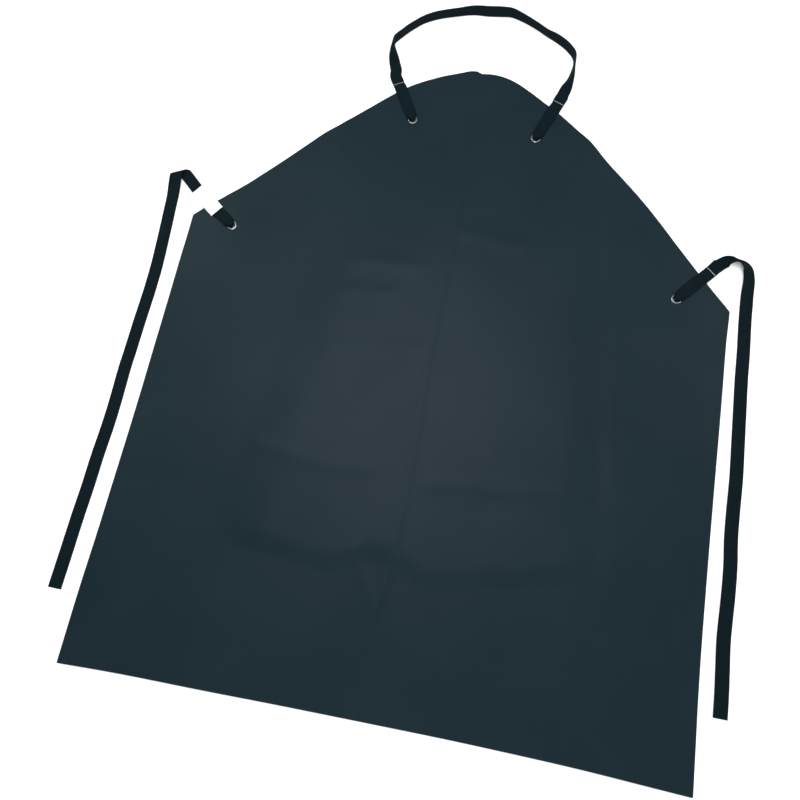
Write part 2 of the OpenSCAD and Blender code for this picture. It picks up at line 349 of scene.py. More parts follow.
def right_tie():
    """Flat out of the loop, up on its edge through the turn, and down flat again."""
    place = "waist_right"
    seam = along_loop(place, LOOP[place]["seam"] * MM) / MM
    route = [[*seam, 0]] + side_route(ROOT_RIGHT_ROUTE, 1) + side_route(TAIL_RIGHT_ROUTE, 1)
    frames = resting_frames(route, STEP)
    split = int(np.argmin(np.abs(frames[0][:, 0] - RIGHT_SPLIT_X)))
    root = sweep("tie_root_right_webbing", *(part[: split + 1] for part in frames))
    tail = sweep("tie_tail_right_webbing", *(part[split:] for part in frames))
    return declare_tie("right", root, tail)


# The left tie is folded over flat, along a line across the strap: the line's direction and a
# place on it, the fold's radius, how far the upper ply slides along the line, and how far past
# the fold it is down again
FOLD_TURN = 25.8
FOLD_PLACE = np.array([-483.2, 452.2, 0]) * MM
FOLD_R = 3.0 * MM
FOLD_SLIDE = 9.0 * MM
FOLD_DOWN = 42 * MM
# The strap before its fold: its direction, and distances from its staple
LEFT_TIE_TURN = 137.5
LEFT_START = 5 * MM
LEFT_SPLIT = 28.4 * MM
LEFT_FOLDED_TO = 0.115


def folded_over(s, v, above):
    """Where the point s along and v across the flat strap goes, above its middle surface."""
    ahead, left = strap_axes(LEFT_TIE_TURN)
    fold, outward = strap_axes(FOLD_TURN)
    start = np.array([*along_loop("waist_left", LOOP["waist_left"]["staple"] * MM), 0.0])
    p = start + s * ahead + v * left - FOLD_PLACE
    a = p @ fold
    b = p @ outward
    turn = min(max(b / FOLD_R, 0.0), math.pi)
    over = max(b - math.pi * FOLD_R, 0.0)
    middle = FOLD_PLACE + (a - FOLD_SLIDE * smooth_step(turn / math.pi)) * fold
    middle = middle + outward * (FOLD_R * math.sin(turn) - over + min(b, 0.0))
    middle[2] = WEB_T / 2 + FOLD_R * (1 - math.cos(turn)) - smooth_step(over / FOLD_DOWN) * 2 * FOLD_R
    face = outward * math.sin(turn) + np.array([0, 0, math.cos(turn)])
    return middle + above * face


def left_tie():
    """Flat out of the loop, folded over along a slanted line, and down flat again."""
    stations = np.arange(LEFT_START, LEFT_FOLDED_TO, STEP / 2)
    rings = [
        np.array([folded_over(s, a * WEB_W / 2, h * WEB_T / 2) for a, h in SECTION])
        for s in stations
    ]
    centres = [folded_over(s, 0.0, 0.0) for s in stations]
    # Past the fold the strap follows its route, from where the folded part is heading
    joined = centres[-1][:2] / MM
    lead = joined - 12 * unit(centres[-1] - centres[-3])[:2]
    route = [[*lead, -180], [*joined, -180]] + side_route(TAIL_LEFT_ROUTE, -1)
    onwards, across, out = resting_frames(route, STEP)
    first = int(np.argmin(np.linalg.norm(onwards[:, :2] - centres[-1][:2], axis=1))) + 1
    place, depth = section_ring(WEB_W, 0.0)
    for i in range(first, len(onwards)):
        rings.append(onwards[i] + np.outer(place, across[i]) + np.outer(depth, out[i]))
        centres.append(onwards[i])
    centres = np.array(centres)
    split = int(np.argmin(np.abs(stations - LEFT_SPLIT)))
    root = ring_strap("tie_root_left_webbing", rings[: split + 1], centres[: split + 1])
    tail = ring_strap("tie_tail_left_webbing", rings[split:], centres[split:])
    return declare_tie("left", root, tail)


# ---------------------------------------------------------------- loops
# The strap's middle line from under the panel up through the eyelet and back over it:
# [distance from the eyelet, height, curl in degrees, width share] in millimetres
UNDER_LINE = [
    [30, 0.62, 0, 1], [15, 0.62, 0, 1], [9, 0.75, 25, 0.8], [5, 1.3, 110, 0.52],
    [2, 2.2, 200, 0.6], [0.5, 3.6, 290, 0.85], [0, 5.0, 310, 0.95],
]
OVER_LINE = [
    [-0.3, 6.3, 262, 1], [-0.1, 7.7, 212, 1], [1.2, 9.1, 172, 1], [4.0, 9.6, 140, 1],
    [7.5, 9.2, 112, 1], [12, 8.2, 82, 1], [18, 7.1, 52, 1], [26, 6.3, 30, 1], [36, 5.85, 15, 1],
]


def loop_webbing(place):
    """One length of webbing: the ply behind the panel, the bunch in the bore, the front ply."""
    loop = LOOP[place]
    line = [[loop["seam"], 0.6, 0, 1]] + UNDER_LINE + OVER_LINE
    line += [
        [loop["bend"] - 12, 5.6, 9, 1], [loop["bend"] - 2, 5.45, 5, 1],
        [(loop["bend"] + loop["land"]) / 2, 3.6, 3, 1],
        [loop["land"], 2.0, 2, 1], [loop["staple"] + 2, 1.85, 0, 1],
        [loop["end"], 2.0, 0, 1],
    ]
    fine = smooth_line([(u * MM, z * MM, 0, curl, share) for u, z, curl, share in line], 1.2 * MM)
    ahead, left = strap_axes(loop["turn"])
    centres = np.column_stack([EYELET[place] + fine[:, :1] * ahead[:2], fine[:, 1]])
    over = np.arange(len(fine)) > np.argmax(fine[:, 1])
    askew = over * np.clip((fine[:, 0] / MM - loop["staple"] + 6) / 14, 0, 1)
    centres += np.outer(askew * loop["askew"] * MM, left)
    tangent = unit(np.gradient(centres, axis=0))
    across = np.tile(left, (len(fine), 1))
    out = np.cross(tangent, across)
    piece = sweep(
        f"loop_{place}_webbing", centres, across, out,
        curl=np.radians(fine[:, 3]), width=np.clip(fine[:, 4], 0.4, 1),
    )
    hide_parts("loop_" + place)
    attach(piece, "panel")
    return piece


# The right waist tie's own end, on top of it: distances from the eyelet, in millimetres
RETURNED_FROM = 84.0
RETURNED_TO = 99.6
RETURNED_STEP = 1.2


def returned_end():
    """The strap's own end on top of the right waist tie, past the staple and over the fold."""
    place = "waist_right"
    centres = []
    for u in np.arange(RETURNED_FROM, RETURNED_TO, RETURNED_STEP):
        share = (u - RETURNED_FROM) / 15
        beside = (0.3 + 1.2 * share) * MM
        height = (1.85 + 0.25 * share) * MM
        centres.append([*along_loop(place, u * MM, beside), height])
    centres = np.array(centres)
    tangent = unit(np.gradient(centres, axis=0))
    across = np.tile(strap_axes(LOOP[place]["turn"])[1], (len(centres), 1))
    piece = sweep("returned_end_waist_right", centres, across, np.cross(tangent, across))
    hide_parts("loop_waist_right")
    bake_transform(piece)
    return piece


# ---------------------------------------------------------------- panel
TOP_R = 155 * MM
TOP_ANGLE = 25.0
SIDE_ANGLE = 46.6
# Distances of the outer columns and rows from the edge. The core ends at the last one.
RIM = [0.0, 6.5 * MM, 8.0 * MM]
SKIRT_ROWS = 110
BIB_ROWS = 80
COLUMNS = 150
COVER_T = 0.6 * MM
CORE_T = 0.8 * MM
HOLE_R = 5.3 * MM

# How the cut edge lies off its ideal line, outwards: along the bib by x, down the sides by y
BIB_LIE = [
    [-450, -1], [-430, -1.5], [-400, -4], [-363, -6], [-320, -6], [-277, -4], [-255, -3],
    [-233, -5.5], [-190, -7.5], [-160, -5.5], [-126, -2.2], [-78, -1.8], [-48, -1.8], [-29, 0.5],
    [-18, 1.8], [-12, 2.1], [-8, 0], [-4, -1.6], [2, -1.4], [12, 0.2], [35, 2], [60, 1.8],
    [90, -0.2], [110, -2], [149, -1.2], [180, -0.2], [198, 2.8], [230, 2.5], [277, 5.8],
    [300, 6.5], [330, 5.6], [363, 3], [400, 1.5], [430, 0.8], [450, 1.4],
]
# The waist corners, left and right
CORNER = {-1: (-440, 379), 1: (456, 365)}
PANEL_MIDDLE = np.array([0.0, 0.1])
LEFT_LIE = [[-340, -3], [-245, -4], [-150, -6.5], [-50, -8], [90, -9.5], [228, -9.8], [370, -10]]
RIGHT_LIE = [[-340, 2], [-200, -0.6], [-50, 0], [90, 1.5], [228, 3], [320, 4], [370, 5]]
HEM_LIE = [[-450, 1], [-380, -1.5], [-240, -3.5], [-60, -5.5], [150, -6.5], [300, -4.5], [450, 1]]


def eased(keys, at):
    """The value at a place, eased between given keys, in metres."""
    x, y = (np.array(column) * MM for column in zip(*keys))
    slopes = np.gradient(y, x)
    i = np.clip(np.searchsorted(x, at) - 1, 0, len(x) - 2)
    gap = x[i + 1] - x[i]
    t = np.clip((at - x[i]) / gap, 0, 1)
    return (
        (2 * t**3 - 3 * t**2 + 1) * y[i] + (t**3 - 2 * t**2 + t) * gap * slopes[i]
        + (3 * t**2 - 2 * t**3) * y[i + 1] + (t**3 - t**2) * gap * slopes[i + 1]
    )


def normal_at(degrees):
    """The direction out of an arc at an angle from straight up."""
    return np.array([math.sin(math.radians(degrees)), math.cos(math.radians(degrees))])


def bib_side():
    """The bib's right outline from the waist corner up to the arch's end."""
    arch_middle = np.array([0, TOP_Y - TOP_R])
    arch_end = arch_middle + TOP_R * normal_at(TOP_ANGLE)
    corner = np.array([SIDE_X, WAIST_Y])
    bulge = 1 - math.cos(math.radians(SIDE_ANGLE - TOP_ANGLE))
    radius = (corner - arch_end) @ normal_at(SIDE_ANGLE) / bulge
    centre = arch_end - radius * normal_at(TOP_ANGLE)
    tangent_end = centre + radius * normal_at(SIDE_ANGLE)
    straight = [corner + (tangent_end - corner) * t for t in np.linspace(0, 1, 40)[:-1]]
    shoulder = [centre + radius * normal_at(a) for a in np.linspace(SIDE_ANGLE, TOP_ANGLE, 40)]
    return np.array(straight + shoulder)


def laid_off(line, off, inwards):
    """Moves a line's points outwards, away from a point inside the panel."""
    ahead = unit(np.gradient(line, axis=0))
    side = np.column_stack([-ahead[:, 1], ahead[:, 0]])
    side *= np.sign(((line - inwards) * side).sum(1))[:, None]
    return line + side * off[:, None]


def rimmed(line, steps, at_start):
    """The same line in steps points, with the rim's spacing at its start or at its end."""
    line = line if at_start else line[::-1]
    at = lengths(line)
    places = np.concatenate([RIM[:-1], np.linspace(RIM[-1], at[-1], steps - len(RIM) + 1)])
    line = np.column_stack([np.interp(places, at, line[:, k]) for k in (0, 1)])
    return line if at_start else line[::-1]


def side_line(sign, lie):
    """One side's outline, from the hem up round the waist corner to the arch's end."""
    corner = np.array(CORNER[sign]) * MM
    up = np.linspace(HEM_Y, corner[1], 300)
    lower = np.column_stack([sign * (SIDE_X + eased(lie, up)), up])
    lower[:, 1] -= eased(HEM_LIE, lower[:, 0]) * (1 - smooth_step((up - HEM_Y) / 0.15))
    lower[:, 0] += (corner[0] - lower[-1, 0]) * smooth_step((up - corner[1] + 0.06) / 0.06)
    lower[-1] = corner
    upper = bib_side() * [sign, 1]
    upper = laid_off(upper, eased(BIB_LIE, upper[:, 0]), PANEL_MIDDLE)
    upper = upper[np.abs(upper[:, 0]) < abs(corner[0]) - 5 * MM]
    upper = rimmed(np.concatenate([[corner], upper]), BIB_ROWS, False)
    return np.concatenate([rimmed(lower, SKIRT_ROWS, True), upper[1:]])


def hem_line(left_end, right_end):
    """The skirt's bottom edge."""
    hem = np.column_stack([np.linspace(-SIDE_X, SIDE_X, 400), np.full(400, HEM_Y)])
    hem[:, 1] -= eased(HEM_LIE, hem[:, 0])
    hem[:, 0] = np.interp(hem[:, 0], [-SIDE_X, SIDE_X], [left_end[0], right_end[0]])
    hem[0] = left_end
    hem[-1] = right_end
    return hem


def top_line(left_end, right_end):
    """The arch at the top of the bib."""
    middle = np.array([0, TOP_Y - TOP_R])
    arch = np.array([middle + TOP_R * normal_at(a) for a in np.linspace(-TOP_ANGLE, TOP_ANGLE, 200)])
    top = laid_off(arch, eased(BIB_LIE, arch[:, 0]), PANEL_MIDDLE)
    top[0] = left_end
    top[-1] = right_end
    return top


def at_shares(line, shares):
    """Points at shares from 0 to 1 of a line's own count of points."""
    own = np.linspace(0, 1, len(line))
    return np.column_stack([np.interp(shares, own, line[:, k]) for k in (0, 1)])


def column_shares(wide):
    """Where a row's columns are, from 0 to 1: the rims at both ends, and closer in the middle."""
    even = np.linspace(0, 1, COLUMNS)
    even = even + 0.5 * np.sin(2 * math.pi * even) / (2 * math.pi)
    rim = np.array(RIM) / wide
    return np.concatenate([rim[:-1], rim[-1] + even * (1 - 2 * rim[-1]), 1 - rim[-2::-1]])


def panel_grid():
    """Points over the whole panel, in rows from the hem up, as an array of [x, y]. Each is
    blended from the four edges, less what the corners then count twice."""
    left = side_line(-1, LEFT_LIE)
    right = side_line(1, RIGHT_LIE)
    hem = hem_line(left[0], right[0])
    top = top_line(left[-1], right[-1])
    up = (lengths(left) / lengths(left)[-1] + lengths(right) / lengths(right)[-1]) / 2
    rows = []
    for i, s in enumerate(up):
        shares = column_shares(np.linalg.norm(right[i] - left[i]))
        low = at_shares(hem, shares)
        high = at_shares(top, shares)
        t = shares[:, None]
        rows.append(
            (1 - t) * left[i] + t * right[i] + (1 - s) * low + s * high
            - (1 - s) * (1 - t) * hem[0] - (1 - s) * t * hem[-1]
            - s * (1 - t) * top[0] - s * t * top[-1]
        )
    return np.array(rows)


# The sheet's soft centre field, a little raised: its left and right sides as [y, x], and its foot
FIELD_LEFT = [[-340, -330], [-120, -278], [210, -238], [420, -208], [600, -150], [742, -90]]
FIELD_RIGHT = [[-340, 325], [-245, 308], [-80, 264], [115, 245], [345, 225], [600, 195], [742, 150]]
FIELD_FOOT = [
    [-450, -112], [-270, -116], [-90, -136], [-45, -108], [0, -108], [55, -134], [265, -84],
    [450, -60],
]
FIELD_RISE = 3.9 * MM
# Its slopes: how far before the line each begins, and how wide it is
LEFT_SLOPE = (10 * MM, 90 * MM)
RIGHT_SLOPE = (20 * MM, 55 * MM)
FOOT_SLOPE = (16 * MM, 32 * MM)
# Upwards the field fades out between two heights
FADE_FROM = 0.38
FADE_OVER = 0.3

# Creases left by folding: places, half width and height
CREASES = [
    [[[-25, 745], [-10, 565], [0, 430], [-5, 215], [0, -25], [-15, -185], [-35, -300]], 7, 1.1],
    [[[-420, -65], [-360, -60], [-300, -50]], 12, -0.8],
    [[[-375, 450], [-300, 456], [-220, 465]], 13, -0.9],
    [[[275, 135], [320, 50], [355, -45]], 10, 0.6],
    [[[245, 540], [275, 345], [298, 115], [312, -80], [338, -300]], 15, 0.9],
    [[[-190, 100], [-120, 104], [-50, 110]], 10, 0.9],
    [[[-165, 195], [-90, 205], [-20, 215]], 11, 1.0],
    [[[-150, 345], [-60, 352]], 14, 1.1],
    [[[15, 425], [110, 418]], 15, 1.0],
    [[[-240, 20], [-140, 8], [-60, 14]], 13, 1.3],
    [[[30, 8], [150, 20], [230, 26]], 13, 1.1],
    [[[-160, 290], [-80, 296]], 9, 0.8],
    [[[-175, 150], [-60, 158]], 8, 0.7],
    [[[-60, -112], [-15, -185], [0, -112]], 9, 1.0],
    [[[-222, 600], [-218, 500]], 10, 0.6],
]
# Low hills and hollows: [x, y, half length, half width, turn in degrees, height]
SWELLS = [
    [-365, 140, 60, 40, 20, 2.0], [355, 425, 80, 36, -40, 1.8], [220, -235, 75, 46, 5, -2.4],
    [-380, 300, 70, 36, 10, 1.4], [-5, 690, 26, 16, 60, 1.4], [130, 560, 60, 40, 80, -1.2],
    [-260, -240, 110, 50, -8, 1.6], [400, 150, 70, 36, 80, 1.5], [90, 650, 50, 26, 60, 1.2],
]
# Slow waves over the whole sheet: [wave length across, up, phase, height]
WAVES = [[520, 900, 0.4, 0.6], [310, -420, 1.7, 0.45], [-210, 260, 3.1, 0.25], [150, 330, 5.0, 0.12]]
# Each eyelet and its loop hold the sheet at their own height. How far from the loop's middle
# line they hold it whole, and how fast that fades
HELD_WITHIN = 9 * MM
HELD_FADE = 34 * MM


def along_keys(keys, at):
    """Plain interpolation between given keys in millimetres, in metres."""
    x, y = (np.array(column) * MM for column in zip(*keys))
    return np.interp(at, x, y)


def away_from(line, x, y):
    """Distance of every point from a line of straight stretches, in millimetres."""
    best = np.full_like(x, 1e9)
    for (ax, ay), (bx, by) in zip(line[:-1], line[1:]):
        dx, dy = (bx - ax) * MM, (by - ay) * MM
        px, py = x - ax * MM, y - ay * MM
        t = np.clip((px * dx + py * dy) / (dx * dx + dy * dy), 0, 1)
        best = np.minimum(best, np.hypot(px - t * dx, py - t * dy) / MM)
    return best


def past_line(distance, slope):
    """0 before a line's slope, easing to 1 past it."""
    before, wide = slope
    return smooth_step((distance + before) / wide)


def centre_field(x, y):
    inside = past_line(x - along_keys(FIELD_LEFT, y), LEFT_SLOPE)
    inside = inside * (1 - past_line(x - along_keys(FIELD_RIGHT, y), RIGHT_SLOPE))
    inside = inside * past_line(y - along_keys(FIELD_FOOT, x), FOOT_SLOPE)
    return FIELD_RISE * inside * (1 - smooth_step((y - FADE_FROM) / FADE_OVER))


def swell(x, y, spec):
    """One low hill or hollow."""
    cx, cy, long, wide, turn, height = spec
    ahead = direction(turn)
    px, py = x - cx * MM, y - cy * MM
    a, b = px * ahead[0] + py * ahead[1], py * ahead[0] - px * ahead[1]
    return height * MM * np.exp(-((a / (long * MM)) ** 2) - (b / (wide * MM)) ** 2)


def held_by_loop(high, x, y, place):
    """The same heights, brought near an eyelet and its loop to where they hold the sheet."""
    ahead = direction(LOOP[place]["turn"])
    px, py = x - EYELET[place][0], y - EYELET[place][1]
    u = np.clip(px * ahead[0] + py * ahead[1], 0, LOOP[place]["bend"] * MM)
    away = np.hypot(px - u * ahead[0], py - u * ahead[1])
    near = np.exp(-((np.maximum(away - HELD_WITHIN, 0) / HELD_FADE) ** 2))
    held = BIB_LIFT - 0.7 * MM * np.clip((u - 12 * MM) / (30 * MM), 0, 1)
    return high * (1 - near) + held * near


def lie_height(x, y):
    """How far the panel's back face is off the surface under it, in metres."""
    high = np.full_like(x, 0.3 * MM)
    for a, b, phase, height in WAVES:
        high += height * MM * (0.5 + 0.5 * np.sin(2 * math.pi * (x / (a * MM) + y / (b * MM)) + phase))
    high += centre_field(x, y)
    for line, half, height in CREASES:
        high += height * MM * np.exp(-((away_from(line, x, y) / half) ** 2))
    for spec in SWELLS:
        high += swell(x, y, spec)
    high = np.maximum(high, 0.1 * MM)
    for place in PLACES:
        high = held_by_loop(high, x, y, place)
    return high


def sheet_solid(name, grid, low, high):
    """A closed sheet over grid between two fields of heights."""
    rows, cols = grid.shape[:2]
    n = rows * cols
    top = np.concatenate([grid, high[..., None]], axis=2).reshape(-1, 3)
    bottom = np.concatenate([grid, low[..., None]], axis=2).reshape(-1, 3)
    r, c = np.meshgrid(np.arange(rows - 1), np.arange(cols - 1), indexing="ij")
    a = (r * cols + c).ravel()
    upper = np.column_stack([a, a + 1, a + cols + 1, a + cols])
    lower = upper[:, ::-1] + n
    ring = (
        list(range(cols))
        + [r * cols + cols - 1 for r in range(1, rows)]
        + [(rows - 1) * cols + c for c in range(cols - 2, -1, -1)]
        + [r * cols for r in range(rows - 2, 0, -1)]
    )
    rim = [(later, here, here + n, later + n) for here, later in zip(ring, ring[1:] + ring[:1])]
    faces = upper.tolist() + lower.tolist() + rim
    piece = new_mesh(name, np.concatenate([top, bottom]), faces)
    fix_direction(piece)
    return piece


def cut_holes(piece):
    """Cuts the eyelets' holes through a sheet."""
    for place in PLACES:
        bpy.ops.mesh.primitive_cylinder_add(
            vertices=40, radius=HOLE_R, depth=30 * MM, location=(*EYELET[place], 4 * MM)
        )
        cutter = bpy.context.object
        change = piece.modifiers.new("hole", "BOOLEAN")
        change.operation = "DIFFERENCE"
        change.solver = "EXACT"
        change.object = cutter
        apply_modifiers(piece)
        bpy.data.objects.remove(cutter)


def panel():
    """Back cover, core and front cover, laid on each other as one undulating sheet."""
    grid = panel_grid()
    base = lie_height(grid[..., 0], grid[..., 1])
    rows, cols = grid.shape[:2]
    inside = np.zeros((rows, cols), bool)
    inside[2:-2, 2:-2] = True
    middle = base + PANEL_T / 2
    back_top = np.where(inside, base + COVER_T, middle)
    front_low = np.where(inside, base + COVER_T + CORE_T, middle)
    back = sheet_solid("back_cover_sheet", grid, base, back_top)
    front = sheet_solid("front_cover_sheet", grid, front_low, base + PANEL_T)
    core_grid = grid[2:-2, 2:-2]
    core_low = base[2:-2, 2:-2] + COVER_T
    core = sheet_solid("lead_core_sheet", core_grid, core_low, core_low + CORE_T)
    for piece, node in ((back, "back_cover"), (core, "lead_core"), (front, "front_cover")):
        cut_holes(piece)
        sharpen(piece, 40)
        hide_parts(node)
        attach(piece, "panel")
    return back, core, front


# ---------------------------------------------------------------- metal
def lathe(name, profile, place, segments):
    """Turns a closed profile of [radius, height] in millimetres about an upright axis."""
    ring = np.array(profile) * MM
    turns = np.linspace(0, 2 * math.pi, segments, endpoint=False)
    points = [
        (place[0] + r * math.cos(t), place[1] + r * math.sin(t), z) for t in turns for r, z in ring
    ]
    k = len(ring)
    faces = []
    for i in range(segments):
        here = i * k
        later = (i + 1) % segments * k
        faces += [(here + j, here + (j + 1) % k, later + (j + 1) % k, later + j) for j in range(k)]
    piece = new_mesh(name, points, faces)
    fix_direction(piece)
    sharpen(piece, 60)
    return piece


def rounded(points, radius):
    """A closed profile with its corners rounded."""
    p = np.array(points, float)
    out = []
    for i in range(len(p)):
        here = p[i]
        before = p[i - 1] - here
        after = p[(i + 1) % len(p)] - here
        cut_in = min(radius, np.linalg.norm(before) / 2.2, np.linalg.norm(after) / 2.2)
        a = here + before / np.linalg.norm(before) * cut_in
        b = here + after / np.linalg.norm(after) * cut_in
        for t in (0, 0.5, 1):
            out.append((1 - t) ** 2 * a + 2 * t * (1 - t) * here + t**2 * b)
    return out


EYELET_PROFILE = [
    [4.7, 1.75], [4.75, 1.35], [5.3, 1.25], [6.2, 1.32], [6.6, 1.55], [6.1, 1.62], [5.2, 1.62],
    [5.2, 4.2], [7.95, 4.2], [8.0, 4.45], [7.85, 4.78], [7.5, 4.94], [6.3, 5.06], [5.4, 5.0],
    [4.9, 4.76], [4.7, 4.3],
]
WASHER_PROFILE = [[5.25, 1.6], [7.4, 1.6], [7.5, 1.75], [7.4, 2.2], [6.6, 2.1], [5.25, 2.2]]


def eyelet(place):
    piece = lathe(f"eyelet_{place}_metal", rounded(EYELET_PROFILE, 0.25), EYELET[place], 96)
    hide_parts("eyelet_" + place)
    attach(piece, "panel")
    return piece


def washer(place):
    piece = lathe(f"washer_{place}_metal", rounded(WASHER_PROFILE, 0.12), EYELET[place], 72)
    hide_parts("washer_" + place)
    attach(piece, "panel")
    return piece


# Staples, in millimetres: from leg to leg, the crown's height and the flat wire
STAPLE_SPAN = 19.0
STAPLE_CROWN = 2.9
WIRE_W = 1.3
WIRE_T = 0.5


def staple(place):
    """Flat wire across the strap: a bowed crown, rounded shoulders, legs and clinched ends."""
    half = STAPLE_SPAN / 2 - WIRE_T / 2
    line = [
        [-half + 5.2, 0.42], [-half + 2.6, 0.3], [-half + 0.8, 0.32], [-half + 0.1, 0.75],
        [-half, 1.4], [-half + 0.05, STAPLE_CROWN - 0.75], [-half + 0.35, STAPLE_CROWN - 0.2],
        [-half + 1.0, STAPLE_CROWN], [-half / 2, STAPLE_CROWN + 0.12], [0, STAPLE_CROWN + 0.16],
    ]
    line += [[-v, z] for v, z in line[-2::-1]]
    fine = smooth_line([(v, z, 0) for v, z in line], 0.35)
    ahead, left = strap_axes(LOOP[place]["turn"])
    base = np.array([*along_loop(place, LOOP[place]["staple"] * MM), 0.0])
    centres = base + np.outer(fine[:, 0], left) * MM + np.outer(fine[:, 1], [0, 0, MM])
    out = np.cross(unit(np.gradient(centres, axis=0)), ahead)
    w = WIRE_W / 2 * MM
    t = WIRE_T / 2 * MM
    outline = rounded([[-w, -t], [w, -t], [w, t], [-w, t]], 0.18 * MM)
    rings = [c + np.array([a * ahead + b * o for a, b in outline]) for c, o in zip(centres, out)]
    faces = tube_faces(len(rings), len(outline))
    piece = new_mesh(f"staple_{place}_wire", np.concatenate(rings), faces)
    fix_direction(piece)
    sharpen(piece, 50)
    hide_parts("staple_" + place)
    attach(piece, "panel")
    return piece


# ---------------------------------------------------------------- label
# In millimetres: width, thickness, and its two ends' distances from the eyelet
LABEL_W = 24.0
LABEL_T = 0.3
LABEL_FROM = 36
LABEL_TO = 94
# How many sections it has, and points in each
LABEL_RINGS = 45
LABEL_POINTS = 33


def label_ring(u):
    """The label's section at u from the eyelet: [distance to the left, height] in millimetres."""
    loop = LOOP["waist_left"]
    top_keys = [
        [LABEL_FROM, 6.65], [loop["bend"] - 4, 6.55], [loop["bend"] + 1, 6.2],
        [loop["land"], 3.35], [80, 3.3], [LABEL_TO, 2.95],
    ]
    low_keys = [[LABEL_FROM, 4.5], [56, 4.5], [60, 3.2], [loop["land"], 0.5], [LABEL_TO, 0.45]]
    high = np.interp(u, *zip(*top_keys))
    low = np.interp(u, *zip(*low_keys))
    half = LABEL_W / 2 - 0.12 * math.sin(u * 0.35)
    shape = [
        [-half, low], [-half, high - 0.25], [-half + 0.9, high + 0.02],
        [-half * 0.5, high + 0.1], [0, high + 0.13],
    ]
    shape += [[-v, z] for v, z in shape[-2::-1]]
    askew = 1.4 - 2.6 * (u - LABEL_FROM) / (LABEL_TO - LABEL_FROM)
    outline = smooth_line([(v + askew, z, 0) for v, z in shape], 0.9)[:, :2]
    return spaced_out(outline, LABEL_POINTS)


def size_label():
    """A blank label laid over the left waist loop, its long sides turned down beside the strap."""
    place = "waist_left"
    stations = np.linspace(LABEL_FROM, LABEL_TO, LABEL_RINGS)
    rings = np.array([label_ring(u) for u in stations])
    for _ in range(3):
        rings[1:-1] = (rings[:-2] + 2 * rings[1:-1] + rings[2:]) / 4
    ahead, left = strap_axes(LOOP[place]["turn"])
    base = np.array([*EYELET[place], 0.0])
    points = [
        base + u * MM * ahead + v * MM * left + np.array([0, 0, z * MM])
        for u, ring in zip(stations, rings)
        for v, z in ring
    ]
    faces = []
    for i in range(LABEL_RINGS - 1):
        for here in range(i * LABEL_POINTS, (i + 1) * LABEL_POINTS - 1):
            faces.append((here, here + 1, here + 1 + LABEL_POINTS, here + LABEL_POINTS))
    piece = new_mesh("size_label_blank", points, faces)
    thicken = piece.modifiers.new("thickness", "SOLIDIFY")
    thicken.thickness = LABEL_T * MM
    thicken.offset = 0.0
    apply_modifiers(piece)
    sharpen(piece, 50)
    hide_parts("size_label")
    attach(piece, "panel")
    return piece


# ---------------------------------------------------------------- materials
def material(name):
    made = bpy.data.materials.new(name)
    made.use_nodes = True
    nodes, links = made.node_tree.nodes, made.node_tree.links
    return made, nodes, links, nodes["Principled BSDF"]


def node(nodes, kind, **values):
    made = nodes.new(kind)
    for key, value in values.items():
        if hasattr(made, key) and not key[0].isupper():
            setattr(made, key, value)
        else:
            made.inputs[key.replace("_", " ")].default_value = value
    return made


def colour_ramp(nodes, links, value, low, high, at=(0.3, 0.7)):
    ramp = nodes.new("ShaderNodeValToRGB")
    for stop, place, colour in zip(ramp.color_ramp.elements, at, (low, high)):
        stop.position = place
        stop.color = (*colour, 1)
    links.new(value, ramp.inputs["Fac"])
    return ramp.outputs["Color"]


def bump(nodes, links, height, shader, strength, distance, under=None):
    made = node(nodes, "ShaderNodeBump", Strength=strength, Distance=distance)
    links.new(height, made.inputs["Height"])
    if under is not None:
        links.new(under.outputs["Normal"], made.inputs["Normal"])
    links.new(made.outputs["Normal"], shader.inputs["Normal"])
    return made


def noise(nodes, links, where, scale, detail=3.0, roughness=0.5):
    made = node(nodes, "ShaderNodeTexNoise", Scale=scale, Detail=detail, Roughness=roughness)
    links.new(where, made.inputs["Vector"])
    return made.outputs["Fac"]


def rubber(name, dark, light, rough):
    """Smooth calendered rubber: faint cloudy tone, fine grain, and a little bloom."""
    made, nodes, links, shader = material(name)
    where = nodes.new("ShaderNodeTexCoord").outputs["Object"]
    cloud = noise(nodes, links, where, 5.5, 4.0, 0.55)
    links.new(colour_ramp(nodes, links, cloud, dark, light), shader.inputs["Base Color"])
    patch = noise(nodes, links, where, 14.0, 5.0, 0.6)
    spread = node(nodes, "ShaderNodeMapRange")
    spread.inputs["To Min"].default_value = rough - 0.05
    spread.inputs["To Max"].default_value = rough + 0.06
    links.new(patch, spread.inputs["Value"])
    links.new(spread.outputs["Result"], shader.inputs["Roughness"])
    wave = bump(nodes, links, noise(nodes, links, where, 38.0, 2.0), shader, 0.25, 0.0012)
    bump(nodes, links, noise(nodes, links, where, 1400.0, 2.0), shader, 0.12, 0.00012, under=wave)
    shader.inputs["Specular IOR Level"].default_value = 0.08
    return made


